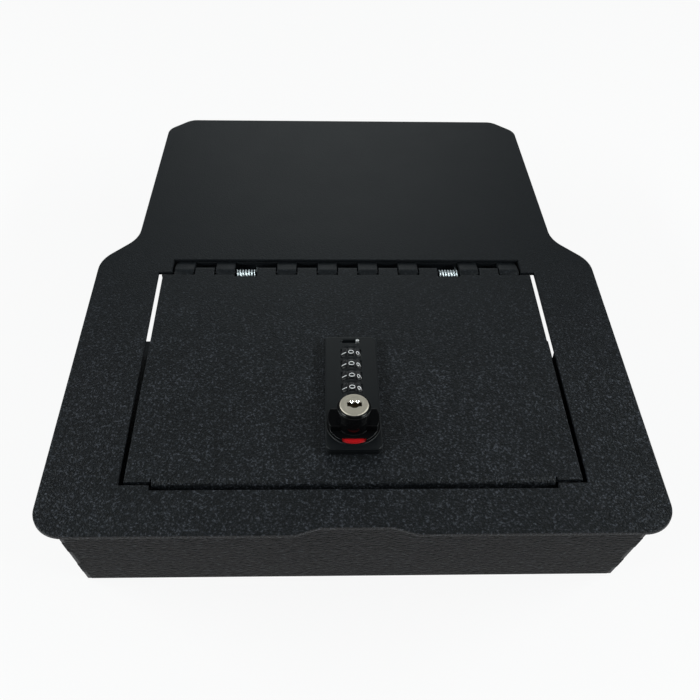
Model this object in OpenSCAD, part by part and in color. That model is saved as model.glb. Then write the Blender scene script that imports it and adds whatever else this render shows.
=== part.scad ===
// Drop-in console safe: a steel cover plate with a locking door over a welded box.
// Lengths along Y are counted from the front edge of the plate, heights from the box underside.

/* [Top plate] */
// Length of the plate from front to rear
plate_len = 458.6; // [440:0.1:500]
// Width of the plate across its front part
front_w = 380; // [376:1:420]
// Width of the rear part where it leaves the shoulders
neck_w = 329; // [310:1:345]
// Width of the rear part at its back edge
back_w = 318; // [300:1:326]
// Thickness of the plate
plate_t = 3; // [2.5:0.1:4]
// Radius of the two front corners
front_corner_r = 20; // [5:1:40]
// Distance from the front edge to the start of the shoulders
shoulder_y = 251.5; // [245:0.5:290]
// Length of the shoulders, measured along the plate
shoulder_len = 27.5; // [26:0.5:60]
// Rounding of the shoulders
shoulder_r = 27; // [4:1:30]
// Length of the cut across each rear corner, measured along the side
rear_cut_side = 16.5; // [14:0.5:40]
// Length of the cut across each rear corner, measured along the back edge
rear_cut_back = 18.5; // [14:0.5:40]
// Rounding of the two ends of each rear corner cut
rear_cut_r = 14; // [2:1:14]
// Width of the bottom of the latch notch in the front edge
notch_w = 44; // [20:1:80]
// Width by which each flank of the latch notch spreads to its mouth
notch_flank = 14.3; // [8:0.1:30]
// Depth of the latch notch
notch_depth = 5; // [3:0.1:5.4]
// Rounding of the notch at its bottom
notch_r = 6; // [1:0.5:9]
// Rounding of the notch where it meets the front edge
notch_mouth_r = 9; // [1:0.5:12]

/* [Opening] */
// Width of the door opening
opening_w = 287; // [272:1:300]
// Length of the door opening, without its lip and hinge slots
opening_len = 200.4; // [180:0.1:204]
// Width of plate in front of the opening
front_margin = 36.6; // [34:0.1:44]
// Width of the slot in front of the opening, for the lip of the door
lip_slot_w = 249.4; // [200:0.1:264]
// Depth of the lip slot
lip_slot_depth = 4; // [3:0.1:5]
// Width of the slot behind the opening, for the hinge
hinge_slot_w = 267; // [266.5:0.1:271]
// Depth of the hinge slot
hinge_slot_depth = 15.2; // [14:0.1:20]

/* [Door] */
// Thickness of the door sheet
door_t = 3; // [2:0.1:3.4]
// Gap between the door and each side of the opening
side_gap = 3.3; // [2:0.1:6]
// Gap between the door and the front of the opening, beside the lip
front_gap = 2.2; // [1.5:0.1:4]
// Gap between the door and the rear of the opening, beside the hinge
rear_gap = 2.8; // [2.7:0.1:2.9]
// Gap between the lip and the front of its slot
lip_gap = 4.6; // [3:0.1:5.5]
// Gap between the lip and each end of its slot
lip_end_gap = 1; // [0.5:0.1:3]
// Depth of the lip, measured from the top of the door
lip_depth = 20; // [12:0.5:20.5]
// Outer radius of the bend that turns the lip down
lip_bend_r = 3.6; // [3.5:0.1:6]

/* [Hinge] */
// Diameter of the hinge rod
rod_d = 5; // [4:0.1:5]
// Radial clearance of the rod in the knuckles
rod_clearance = 0.05; // [0.02:0.01:0.1]
// Distance from the rear edge of the door to the hinge axis
hinge_setback = 6.1; // [6:0.1:6.2]
// Spacing of the knuckles
knuckle_pitch = 15.55; // [14:0.05:15.55]
// Gap between neighbouring knuckles
knuckle_gap = 0.9; // [0.5:0.1:2]
// Distance by which the rod stands out past the last knuckles
rod_overhang = 0.6; // [0:0.1:0.9]
// Width of the strip that welds the fixed knuckles to the plate
leaf_w = 22; // [16:1:40]
// Length by which the strip passes the hinge slot at each end
leaf_overhang = 12; // [8:1:16]
// Distance from the hinge slot to the rear wall
leaf_setback = 1.4; // [1:0.1:4]

/* [Springs] */
// Wire diameter of the torsion springs
wire_d = 1.4; // [1:0.1:1.5]
// Mean radius of their coils
coil_r = 3.45; // [3.3:0.05:3.6]
// Turns of each spring
coil_turns = 7; // [5:1:7]
// Spacing of the turns
coil_pitch = 2.2; // [2:0.05:2.2]
// Width of the pocket in the hinge that each spring sits in
spring_pocket_w = 17.4; // [17.2:0.1:19]
// Depth of the spring pocket, cut into the rear edge of the door
spring_pocket_cut = 1.8; // [1:0.1:4]
// Distance from the hinge axis to the spring leg under the door
spring_leg = 14; // [12:0.5:30]
// Bend radius of that leg
spring_bend_r = 2; // [1.8:0.1:3]
// Gap between each leg and what it bears on
spring_seat_gap = 0.25; // [0.1:0.05:0.4]

/* [Box] */
// Height of the box below the plate
box_h = 89; // [60:1:140]
// Width by which the plate stands out past each side of the box
side_rim = 14; // [8:1:16]
// Thickness of the side and rear walls
wall_t = 2.6; // [2:0.1:3.2]
// Thickness of the floor
floor_t = 2.6; // [2:0.1:4]
// Thickness of the front wall
front_wall_t = 2.6; // [2:0.1:3.2]
// Distance from the front edge of the plate to the top of the front wall
front_wall_top = 5.6; // [5.5:0.1:7]
// Distance by which the front wall leans back over its height
front_wall_lean = 23.5; // [0:0.5:30]
// Distance from the front edge of the plate to the rear end of the side walls
side_wall_end = 234; // [200:1:236]
// Width of the rear wall
rear_wall_w = 267; // [240:1:270]
// Depth of the wider band at the top of the rear wall
rear_band_h = 24; // [16:1:40]
// Width of each tab of the front wall, measured down the wall
tab_w = 16; // [10:1:22]
// Radius of the floor holes that bolt the safe down
floor_hole_r = 4.25; // [3:0.05:6]
// Spacing of the floor holes across the safe
floor_hole_dx = 240; // [150:5:300]
// Spacing of the floor holes from front to rear
floor_hole_dy = 140; // [80:5:150]
// Distance from the front edge of the plate to the middle of the floor holes
floor_hole_mid = 145; // [130:1:150]

/* [Strike and stops] */
// Width of the strike that the cam turns under
strike_w = 34; // [28:1:60]
// Thickness of the strike and of the door stops
strike_t = 2.5; // [2:0.1:3]
// Distance from the front edge of the plate to the strike's upright
strike_y = 28; // [27:0.5:28.5]
// Length of the strike's foot and weld flange
strike_len = 13; // [8:0.5:13]
// Gap between the strike and the top of the cam
strike_gap = 0.4; // [0.3:0.1:0.6]
// Width of each door stop
stop_w = 12; // [8:1:16]
// Distance from the middle of the door to each stop
stop_x = 131; // [130:1:133]
// Drop of the stop's tongue below the plate
stop_drop = 4.5; // [4.5:0.1:10]
// Length of the tongue past its upright
stop_tongue = 15; // [14:1:24]
// Radius of the rubber bumpers
bumper_r = 3.6; // [2:0.1:3.9]
// Gap between the bumpers and the door
bumper_gap = 0.3; // [0.2:0.05:0.5]

/* [Lock] */
// Distance from the front edge of the plate to the axis of the knob
knob_y = 79.7; // [76:0.1:81]
// Width of the lock face
face_w = 35.6; // [34:0.1:40]
// Length of the lock face
face_len = 101.3; // [101:0.1:110]
// Distance from the front end of the face to the knob axis
face_front = 20.65; // [19:0.05:24]
// Thickness of the lock face
face_t = 5; // [4:0.1:6]
// Corner radius of the lock face
face_r = 4; // [2:0.1:6]
// Bevel round the top of the lock face
face_bevel = 0.8; // [0.4:0.1:1.5]
// Width of the lock case, which passes through the door
case_w = 25; // [24:0.1:28]
// Depth of the lock case below the top of the door
case_depth = 22; // [21:0.1:26]
// Distance from the knob axis to the front end of the case
case_front = 9.5; // [9:0.1:12]
// Distance from the knob axis to the rear end of the case
case_rear = 78.6; // [78:0.1:79.2]
// Gap between the case and the cutout in the door
cutout_gap = 0.4; // [0.2:0.1:0.8]
// Width of the flange that clamps the case under the door
clamp_w = 37; // [33:1:44]
// Thickness of that flange
clamp_t = 3; // [2:0.1:4]
// Radius of the case screws
screw_r = 1.5; // [1:0.1:1.5]
// Radius of their heads
screw_head_r = 2.7; // [2.4:0.1:2.9]
// Height of their heads
screw_head_h = 1.8; // [1.2:0.1:2]
// Distance of the case screws from the middle of the lock
screw_x = 8.6; // [8.4:0.1:8.8]

/* [Number wheels] */
// Radius of the number wheels
wheel_r = 8.8; // [8:0.1:8.8]
// Width of each wheel
wheel_w = 7; // [6:0.1:7.4]
// Spacing of the wheels
wheel_pitch = 10.9; // [10.5:0.1:11]
// Distance from the knob axis to the first wheel
first_wheel = 31; // [30.8:0.1:31.4]
// Gap between a wheel and its window
wheel_gap = 0.3; // [0.2:0.05:0.4]
// Height of the wheels above the door
wheel_top = 7.6; // [7:0.1:8]
// Height by which the wheels stand above the rib between them
wheel_proud = 0.35; // [0.2:0.05:0.6]
// Radius of the wheel axle
axle_r = 1.6; // [1.2:0.1:2]
// Radius of the thumb grooves round each wheel
groove_r = 1.1; // [0.8:0.1:1.3]
// Depth of the thumb grooves
groove_depth = 0.35; // [0.2:0.05:0.5]

/* [Code slider] */
// Distance from the knob axis to the slot of the code slider
slider_y = 76; // [75.6:0.1:76.2]
// Length of the slot
slider_slot_len = 12.6; // [10:0.1:13]
// Radius of the slider pin
slider_pin_r = 1.2; // [0.8:0.1:1.25]
// Gap between the pin and the slot
slider_gap = 0.3; // [0.1:0.05:0.4]
// Height of the pin above the lock face
slider_proud = 1.2; // [0.5:0.1:2]

/* [Knob] */
// Radius of the knob's flange and of its thumb wings
knob_r = 16.6; // [15:0.1:17]
// Height of the top of the flange above the lock face
flange_h = 2; // [1.8:0.1:3]
// Bevel round the top of the flange and of the collar
knob_edge = 0.4; // [0.2:0.1:0.6]
// Radius of the collar round the key cylinder
collar_r = 10.8; // [10.2:0.1:11.5]
// Height of the collar above the door
collar_top = 22.4; // [20:0.1:26]
// Depth of the thumb wings from front to rear
wing_w = 14.6; // [8:0.1:16]
// Height of the thumb wings above the flange
wing_h = 5; // [3:0.1:8]
// Running gap under the knob
knob_gap = 0.3; // [0.2:0.05:0.4]
// Width of the status window, a notch in the flange
window_w = 15.2; // [10:0.1:18]
// Distance from the knob axis to the straight rear edge of the status window
window_back = 13.1; // [12:0.1:13.6]
// Radius of the spindle that turns in the lock
spindle_r = 6; // [5:0.1:6]
// Radial running clearance of the spindle, the key plug and the wheels
running_clearance = 0.05; // [0.02:0.01:0.1]
// Side of the square that drives the cam
square_w = 7; // [6:0.1:7.5]
// Radius of the threaded end of the spindle
stub_r = 3; // [2:0.1:3]

/* [Key cylinder] */
// Radius of the face of the key cylinder
key_face_r = 9.1; // [8.8:0.1:9.4]
// Height of that face above the collar
key_face_h = 1.5; // [1:0.1:2.5]
// Radius of the key cylinder inside the knob
barrel_r = 8.5; // [8:0.1:8.6]
// Radius of the key plug
plug_r = 6.2; // [5.6:0.1:6.4]
// Width of the keyway
keyway_w = 9.2; // [7:0.1:9.4]
// Height of the keyway at its two ends
keyway_h = 2.8; // [1.4:0.1:3]
// Depth of the keyway
keyway_depth = 9; // [5:0.5:11]

/* [Cam] */
// Reach of the cam from the knob axis
cam_len = 54; // [53:0.5:57]
// Thickness of the cam
cam_t = 3; // [2:0.1:4]
// Radius of the cam round its square hole
cam_hub_r = 9; // [7:0.1:11]
// Width of the cam at its tip
cam_w = 15; // [10:0.5:18]
// Distance across the flats of the cam nut
nut_flats = 10; // [9:0.1:12]
// Height of the cam nut
nut_h = 5; // [4:0.1:6]
// Thickness of the washer under the nut
washer_t = 1; // [0.6:0.1:1.5]

/* [Hidden] */
$fn = 64;

steel = [0.1, 0.1, 0.11];
black_plastic = [0.05, 0.05, 0.05];
zinc = [0.75, 0.76, 0.78];
nickel = [0.72, 0.69, 0.64];

// Extra length of a cutting tool past the face that it cuts
over = 1;
fine = 0.01;

top_z = box_h + plate_t;
rear_y = front_margin + opening_len;
lip_slot_y = front_margin - lip_slot_depth;
hinge_slot_y = rear_y + hinge_slot_depth;

// Door outline
door_w = opening_w - 2 * side_gap;
door_front = front_margin + front_gap;
door_rear = rear_y - rear_gap;
lip_front = lip_slot_y + lip_gap;
lip_w = lip_slot_w - 2 * lip_end_gap;
// Length of the lip's sheet behind the front of the door
lip_lap = 8;

// Hinge
knuckle_count = 17;
spring_slot = 5;
// Slit where the rolled sheet meets itself
seam = 0.8;
bore_r = rod_d / 2 + rod_clearance;
knuckle_r = bore_r + door_t;
hinge_y = door_rear + hinge_setback;
hinge_z = top_z - knuckle_r;
knuckle_w = knuckle_pitch - knuckle_gap;
rear_wall_y = hinge_slot_y + leaf_setback;
leaf_half = hinge_slot_w / 2 + leaf_overhang;
// Fixed knuckles are 1, the door's are 2 and the spring pockets are 0, from left to right
knuckle_kinds = [1, 2, 1, 0, 2, 1, 2, 1, 2, 1, 2, 1, 2, 0, 1, 2, 1];
spring_x = spring_slot * knuckle_pitch;

// Box
lean = front_wall_lean / box_h;
front_wall_run = front_wall_t * sqrt(1 + lean * lean);
box_w = front_w - 2 * side_rim;
inner_half = box_w / 2 - wall_t;
// Heights of the lower ends of the front wall's tabs
tab_zs = [box_h * 0.16, box_h * 0.6];

// Lengths by which the clamping flange passes the two ends of the case
clamp_front = 6;
clamp_rear = 2;

// Width and thickness of the detent spring, and the radius of its noses
detent_w = 4.8;
detent_t = 0.5;
detent_nose_r = 0.9;
// Room beside the spring in its bay, the bay's depth below the wheels, and its whole height
detent_side_gap = 0.6;
detent_bay_drop = 3;
detent_bay_h = 4;
// Length by which the opening under the wheels passes the axle at each end
bay_overhang = 2;

// Foot of the code slider, under the lock face
slider_foot_w = 3.6;
slider_foot_len = 7;
slider_foot_t = 1.6;

// Wall of the knob's hollow flange, its gap to the status ring, and the ring's inner radius
flange_t = 0.7;
ring_gap = 0.3;
ring_in_r = 11.6;
// Depth by which the thumb wings start inside the flange, and the step at their ends
wing_sink = 0.5;
wing_inset = 0.1;
// Rounding at the tip of the cam
cam_tip_r = 4;

// Lock heights, counted from the top of the door
wheel_z = wheel_top - wheel_r;
rib_r = wheel_r - wheel_proud;
knob_foot = face_t + knob_gap;
flange_top = face_t + flange_h;
// Height of the key cylinder's foot above the flange
barrel_rise = 3;
barrel_floor = flange_top + barrel_rise;
cam_top = -case_depth - 0.6;
slider_travel = slider_slot_len - 2 * (slider_pin_r + slider_gap);
last_wheel = first_wheel + 3 * wheel_pitch;
axle_start = first_wheel - wheel_w / 2 - 3;
axle_end = last_wheel + wheel_w / 2 + 2.4;
screw_rows = [18.5, last_wheel + wheel_w / 2 + 3.2];

function unit(v) = v / norm(v);
function turn(a) = a > 180 ? a - 360 : a < -180 ? a + 360 : a;

// Points of the arc of radius r that rounds the corner b between a and c
function rounded(a, b, c, r, n = 10) =
    r <= 0 ? [b] :
    let (
        u = unit(a - b),
        v = unit(c - b),
        half = acos(u * v) / 2,
        run = min(r / tan(half), norm(a - b) * 0.499, norm(c - b) * 0.499),
        arc_r = run * tan(half),
        m = b + unit(u + v) * arc_r / sin(half),
        from = b + u * run - m,
        to = b + v * run - m,
        start = atan2(from.y, from.x),
        sweep = turn(atan2(to.y, to.x) - start)
    )
    [for (i = [0:n]) m + arc_r * [cos(start + sweep * i / n), sin(start + sweep * i / n)]];

// Outline of a shape given as [x, y, rounding] corners
function outline(c) = [
    for (i = [0:len(c) - 1])
        let (
            a = c[(i + len(c) - 1) % len(c)],
            b = c[i],
            d = c[(i + 1) % len(c)]
        )
        each rounded([a.x, a.y], [b.x, b.y], [d.x, d.y], b.z)
];

// The corners of a right half with their mirror images
function both_sides(c) = concat(c, [for (i = [len(c) - 1:-1:0]) [-c[i].x, c[i].y, c[i].z]]);

// Puts what is drawn from the plate's front edge into the part's own frame
module placed() {
    translate([0, -plate_len / 2, 0]) children();
}

// Puts what is drawn from the knob axis and the top of the door into the part's own frame
module at_lock() {
    placed() translate([0, knob_y, top_z]) children();
}

// Extrudes a Y-Z profile along X
module along_x(x0, x1) {
    translate([x0, 0, 0]) rotate([90, 0, 90]) linear_extrude(x1 - x0) children();
}

// A cylinder along Y from y0 to y1
module bar_y(r, y0, y1, sides = 64) {
    translate([0, y0, 0]) rotate([-90, 0, 0]) cylinder(r = r, h = y1 - y0, $fn = sides);
}

module rect(x0, y0, x1, y1) {
    translate([x0, y0]) square([x1 - x0, y1 - y0]);
}

module plate_outline() {
    cut_y = plate_len - rear_cut_side;
    taper = (neck_w - back_w) / 2 / (plate_len - shoulder_y - shoulder_len);
    polygon(outline(both_sides([
        [notch_w / 2, notch_depth, notch_r],
        [notch_w / 2 + notch_flank, 0, notch_mouth_r],
        [front_w / 2, 0, front_corner_r],
        [front_w / 2, shoulder_y, shoulder_r],
        [neck_w / 2, shoulder_y + shoulder_len, shoulder_r],
        [back_w / 2 + taper * rear_cut_side, cut_y, rear_cut_r],
        [back_w / 2 - rear_cut_back, plate_len, rear_cut_r]
    ])));
}

module opening_outline() {
    rect(-opening_w / 2, front_margin, opening_w / 2, rear_y);
    rect(-lip_slot_w / 2, lip_slot_y, lip_slot_w / 2, front_margin + over);
    rect(-hinge_slot_w / 2, rear_y - over, hinge_slot_w / 2, hinge_slot_y);
}

module top_plate() {
    color(steel)
    placed()
    translate([0, 0, box_h])
    linear_extrude(plate_t)
    difference() {
        plate_outline();
        opening_outline();
    }
}

// Outer line of the leaning front wall at a height
function front_at(z) = front_wall_top + (box_h - z) * lean;

module front_wall_profile(z0, z1) {
    polygon([
        [front_at(z0), z0],
        [front_at(z0) + front_wall_run, z0],
        [front_at(z1) + front_wall_run, z1],
        [front_at(z1), z1]
    ]);
}

module front_wall() {
    color(steel)
    placed() {
        along_x(-inner_half, inner_half) front_wall_profile(0, box_h);
        for (z = tab_zs)
            for (side = [-1, 1])
                along_x(min(side * (inner_half - fine), side * box_w / 2),
                        max(side * (inner_half - fine), side * box_w / 2))
                    front_wall_profile(z, z + tab_w);
    }
}

module side_wall(side) {
    x = min(side * inner_half, side * box_w / 2);
    color(steel)
    placed()
    along_x(x, x + wall_t)
    difference() {
        polygon([
            [front_at(0), 0],
            [side_wall_end, 0],
            [side_wall_end, box_h],
            [front_at(box_h), box_h]
        ]);
        for (z = tab_zs)
            for (shift = [-fine, fine])
                translate([shift, 0]) front_wall_profile(z - fine, z + tab_w + fine);
    }
}

module left_wall() {
    side_wall(-1);
}

module right_wall() {
    side_wall(1);
}

module floor_plate() {
    color(steel)
    placed()
    difference() {
        along_x(-inner_half, inner_half)
            polygon([
                [front_at(0) + front_wall_run, 0],
                [rear_wall_y, 0],
                [rear_wall_y, floor_t],
                [front_at(floor_t) + front_wall_run, floor_t]
            ]);
        for (x = [-1, 1])
            for (y = [-1, 1])
                translate([x * floor_hole_dx / 2, floor_hole_mid + y * floor_hole_dy / 2, -over])
                    cylinder(r = floor_hole_r, h = floor_t + 2 * over);
    }
}

module rear_wall() {
    color(steel)
    placed()
    translate([0, rear_wall_y + wall_t, 0])
        rotate([90, 0, 0])
        linear_extrude(wall_t) {
            rect(-rear_wall_w / 2, 0, rear_wall_w / 2, box_h - door_t);
            rect(-leaf_half, box_h - rear_band_h, leaf_half, box_h - door_t);
        }
}

// Y-Z outline of the ring that every knuckle is rolled into, about the hinge axis
module knuckle_ring() {
    difference() {
        circle(r = knuckle_r);
        circle(r = bore_r);
    }
}

// Direction of the fixed knuckles' sheet, which drops from the ring to under the plate
leaf_top = [hinge_slot_y - hinge_y, box_h - hinge_z];
leaf_angle = atan2(leaf_top.y, leaf_top.x) + acos(knuckle_r / norm(leaf_top));
leaf_normal = [cos(leaf_angle), sin(leaf_angle)];
// Depth by which the sheet of the fixed knuckles starts below the crown of its ring
leaf_sink = 0.05;

module fixed_knuckle_profile() {
    difference() {
        union() {
            knuckle_ring();
            polygon([
                leaf_normal * (knuckle_r - door_t * 0.9),
                leaf_normal * (knuckle_r - leaf_sink),
                leaf_top - [0, leaf_sink],
                leaf_top + [wall_t / 2, -leaf_sink],
                leaf_top + [wall_t / 2, -door_t],
                leaf_top - leaf_normal * door_t * 0.9
            ]);
        }
        circle(r = bore_r);
        rotate(leaf_angle - 90)
            translate([bore_r / 2, bore_r - seam]) square([knuckle_r, seam]);
    }
}

module door_knuckle_profile() {
    difference() {
        union() {
            knuckle_ring();
            rect(door_rear - hinge_y - spring_pocket_cut - over, knuckle_r - door_t, 0, knuckle_r);
        }
        circle(r = bore_r);
        translate([-knuckle_r - over, bore_r - seam])
            square([knuckle_r + over - bore_r / 2, seam]);
    }
}

// Left edge and right edge of a knuckle, drawn in where a spring pocket is next to it
function knuckle_left(i) =
    let (x = (i - 8) * knuckle_pitch - knuckle_w / 2)
    i > 0 && knuckle_kinds[i - 1] == 0 ?
        (i - 9) * knuckle_pitch + spring_pocket_w / 2 : x;
function knuckle_right(i) =
    let (x = (i - 8) * knuckle_pitch + knuckle_w / 2)
    i < knuckle_count - 1 && knuckle_kinds[i + 1] == 0 ?
        (i - 7) * knuckle_pitch - spring_pocket_w / 2 : x;

module hinge_leaf() {
    color(steel)
    placed() {
        for (i = [0:knuckle_count - 1])
            if (knuckle_kinds[i] == 1)
                translate([0, hinge_y, hinge_z])
                    along_x(knuckle_left(i), knuckle_right(i)) fixed_knuckle_profile();
        along_x(-leaf_half, leaf_half)
            rect(hinge_slot_y, box_h - door_t, hinge_slot_y + leaf_w, box_h);
    }
}

module hinge_rod() {
    end_x = 8 * knuckle_pitch + knuckle_w / 2 + rod_overhang;
    color(steel)
    placed()
    translate([-end_x, hinge_y, hinge_z])
        rotate([0, 90, 0]) cylinder(d = rod_d, h = 2 * end_x);
}

// Centre line of a torsion spring about the hinge axis, from the leg under the door to the other
spring_rings = 8;
leg_rise = knuckle_r - door_t - spring_seat_gap;
leg_reach = rear_wall_y - hinge_y - spring_seat_gap;
coil_len = coil_turns * coil_pitch;
spring_path = concat(
    [
        [-coil_len / 2, -spring_leg, leg_rise],
        [-coil_len / 2, -spring_leg, leg_rise - wire_d]
    ],
    [
        for (a = [180:30:270])
            [-coil_len / 2, -spring_leg + spring_bend_r * (1 + cos(a)),
                -coil_r + spring_bend_r * (1 + sin(a))]
    ],
    [
        for (i = [0:coil_turns * spring_rings])
            let (a = -90 + i * 360 / spring_rings)
            [-coil_len / 2 + coil_pitch * i / spring_rings, coil_r * cos(a), coil_r * sin(a)]
    ],
    [
        [coil_len / 2, leg_reach - wire_d, -coil_r],
        [coil_len / 2, leg_reach, -coil_r]
    ]
);

// Direction of a path at point i
function along(p, i) = unit(p[min(i + 1, len(p) - 1)] - p[max(i - 1, 0)]);

// A closed tube of triangles round a path whose direction never runs along X
module tube(p, d, sides = 6) {
    rings = len(p);
    points = [
        for (i = [0:rings - 1])
            let (
                t = along(p, i),
                u = unit(cross([1, 0, 0], t)),
                v = cross(t, u)
            )
            for (k = [0:sides - 1])
                p[i] + d / 2 * (cos(k * 360 / sides) * u + sin(k * 360 / sides) * v)
    ];
    walls = [
        for (i = [0:rings - 2])
            for (k = [0:sides - 1])
                let (
                    a = i * sides + k,
                    b = i * sides + (k + 1) % sides
                )
                each [[a, a + sides, b], [b, a + sides, b + sides]]
    ];
    first = [for (k = [1:sides - 2]) [0, k, k + 1]];
    last = (rings - 1) * sides;
    end = [for (k = [1:sides - 2]) [last, last + k + 1, last + k]];
    polyhedron(points = points, faces = concat(walls, first, end));
}

// Least distance between points of the path that are a third of a turn or more apart along it
spring_least = min([
    for (i = [0:len(spring_path) - 1])
        for (j = [i + 6:1:len(spring_path) - 1])
            norm(spring_path[i] - spring_path[j])
]);
echo(str("torsion spring least gap to itself ", spring_least - wire_d));

module torsion_spring(x) {
    color(zinc)
    placed()
    translate([x, hinge_y, hinge_z]) tube(spring_path, wire_d);
}

module left_spring() {
    torsion_spring(-spring_x);
}

module right_spring() {
    torsion_spring(spring_x);
}

module strike() {
    up = top_z + cam_top + strike_gap;
    color(steel)
    placed()
    along_x(-strike_w / 2, strike_w / 2) {
        rect(strike_y + strike_t - strike_len, box_h - strike_t, strike_y + strike_t, box_h);
        rect(strike_y, up, strike_y + strike_t, box_h);
        rect(strike_y + strike_t - strike_len, up, strike_y + strike_t, up + strike_t);
    }
}

module door_stops() {
    back = lip_slot_y - over;
    low = box_h - stop_drop - strike_t;
    color(steel)
    placed()
    for (side = [-1, 1])
        along_x(side * stop_x - stop_w / 2, side * stop_x + stop_w / 2) {
            rect(back - strike_len, box_h - strike_t, back, box_h);
            rect(back - strike_t, low, back, box_h);
            rect(back - strike_t, low, back + stop_tongue, low + strike_t);
        }
}

module bumpers() {
    foot = box_h - stop_drop;
    color(black_plastic)
    placed()
    for (side = [-1, 1])
        translate([side * stop_x, lip_slot_y - over + stop_tongue - bumper_r - 0.5, foot])
            cylinder(r = bumper_r, h = top_z - door_t - bumper_gap - foot);
}

module lip_profile() {
    difference() {
        union() {
            translate([lip_front + lip_bend_r, top_z - lip_bend_r]) circle(r = lip_bend_r);
            rect(lip_front, top_z - lip_depth, lip_front + door_t, top_z - lip_bend_r);
            rect(lip_front + lip_bend_r, top_z - door_t, door_front + lip_lap, top_z);
        }
        translate([lip_front + lip_bend_r, top_z - lip_bend_r])
            circle(r = lip_bend_r - door_t);
        rect(lip_front + door_t, top_z - lip_depth - over,
             lip_front + lip_bend_r + over, top_z - lip_bend_r);
        rect(lip_front + lip_bend_r, top_z - 2 * lip_bend_r - over,
             lip_front + 3 * lip_bend_r, top_z - door_t);
    }
}

module door_sheet() {
    difference() {
        rect(-door_w / 2, door_front, door_w / 2, door_rear);
        rect(-lip_w / 2 - lip_end_gap, door_front - over,
             lip_w / 2 + lip_end_gap, lip_front + lip_bend_r);
        for (i = [0:knuckle_count - 1]) {
            x = (i - 8) * knuckle_pitch;
            if (knuckle_kinds[i] == 0)
                rect(x - spring_pocket_w / 2, door_rear - spring_pocket_cut,
                     x + spring_pocket_w / 2, door_rear + over);
        }
        rect(-case_w / 2 - cutout_gap, knob_y - case_front - cutout_gap,
             case_w / 2 + cutout_gap, knob_y + case_rear + cutout_gap);
    }
}

module door_panel() {
    color(steel)
    placed() {
        translate([0, 0, top_z - door_t]) linear_extrude(door_t) door_sheet();
        along_x(-lip_w / 2, lip_w / 2) lip_profile();
        for (i = [0:knuckle_count - 1])
            if (knuckle_kinds[i] == 2)
                translate([0, hinge_y, hinge_z])
                    along_x(knuckle_left(i), knuckle_right(i)) door_knuckle_profile();
    }
}

// Positions of the four wheels, from the knob towards the hinge
function wheel_y(i) = first_wheel + i * wheel_pitch;

module wheel_bay() {
    for (i = [0:3])
        translate([0, 0, wheel_z])
            bar_y(wheel_r + wheel_gap, wheel_y(i) - wheel_w / 2 - wheel_gap,
                  wheel_y(i) + wheel_w / 2 + wheel_gap);
    translate([0, 0, wheel_z]) bar_y(axle_r + running_clearance, axle_start, axle_end);
}

module screw_holes(r) {
    for (x = [-1, 1])
        for (y = screw_rows)
            translate([x * screw_x, y, -case_depth - over])
                cylinder(r = r, h = case_depth + over + face_t * 0.4, $fn = 32);
}

module lock_face() {
    front = -face_front;
    rear = face_len - face_front;
    color(black_plastic)
    at_lock()
    difference() {
        union() {
            hull()
                for (x = [-1, 1])
                    for (y = [front + face_r, rear - face_r])
                        translate([x * (face_w / 2 - face_r), y, 0]) {
                            cylinder(r = face_r, h = face_t - face_bevel, $fn = 32);
                            cylinder(r = face_r - face_bevel, h = face_t, $fn = 32);
                        }
            translate([-case_w / 2, -case_front, -door_t])
                cube([case_w, case_front + case_rear, door_t + fine]);
            translate([0, 0, wheel_z])
                bar_y(rib_r, axle_start - 1, axle_end + 1);
        }
        wheel_bay();
        translate([0, 0, -door_t - over])
            cylinder(r = spindle_r + running_clearance, h = door_t + face_t + 2 * over);
        translate([0, 0, wheel_z - wheel_r - over])
            translate([-case_w / 2, axle_start - bay_overhang, 0])
                cube([case_w, axle_end - axle_start + 2 * bay_overhang,
                      -door_t - wheel_z + wheel_r + over]);
        slot_x = slider_slot_len / 2 - slider_pin_r - slider_gap;
        translate([0, slider_y, -door_t - over])
            linear_extrude(door_t + face_t + 2 * over) {
                rect(-slot_x, -slider_pin_r - slider_gap, slot_x, slider_pin_r + slider_gap);
                for (x = [-slot_x, slot_x])
                    translate([x, 0]) circle(r = slider_pin_r + slider_gap, $fn = 32);
            }
        screw_holes(screw_r);
    }
}

module lock_case() {
    color(black_plastic)
    at_lock()
    difference() {
        union() {
            translate([-case_w / 2, -case_front, -case_depth])
                cube([case_w, case_front + case_rear, case_depth - door_t]);
            translate([-clamp_w / 2, -case_front - clamp_front, -door_t - clamp_t])
                cube([clamp_w, clamp_front + case_front + case_rear + clamp_rear, clamp_t]);
        }
        wheel_bay();
        translate([0, 0, -case_depth - over])
            cylinder(r = spindle_r + running_clearance, h = case_depth + over);
        translate([-detent_w / 2 - detent_side_gap, axle_start + 1, wheel_z - wheel_r - detent_bay_drop])
            cube([detent_w + 2 * detent_side_gap, axle_end - axle_start - 1, detent_bay_h]);
        translate([-slider_slot_len / 2 - slider_foot_len / 2, slider_y - slider_foot_w / 2 - slider_gap,
                   -door_t - slider_foot_t - 2 * slider_gap])
            cube([slider_slot_len + slider_foot_len, slider_foot_w + 2 * slider_gap,
                  slider_foot_t + 2 * slider_gap + over]);
        screw_holes(screw_r);
        for (x = [-1, 1])
            for (y = screw_rows)
                translate([x * screw_x, y, -case_depth - over])
                    cylinder(r = screw_head_r + 0.2, h = screw_head_h + over + 0.4, $fn = 32);
    }
}

module case_screws() {
    head = -case_depth + 0.4;
    color(zinc)
    at_lock()
    for (x = [-1, 1])
        for (y = screw_rows)
            translate([x * screw_x, y, head])
                difference() {
                    union() {
                        cylinder(r = screw_head_r, h = screw_head_h - fine, $fn = 32);
                        cylinder(r = screw_r - fine, h = -head + face_t * 0.4 - 0.2, $fn = 32);
                    }
                    translate([-screw_head_r, -0.35, -fine]) cube([2 * screw_head_r, 0.7, 0.8]);
                }
}

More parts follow.
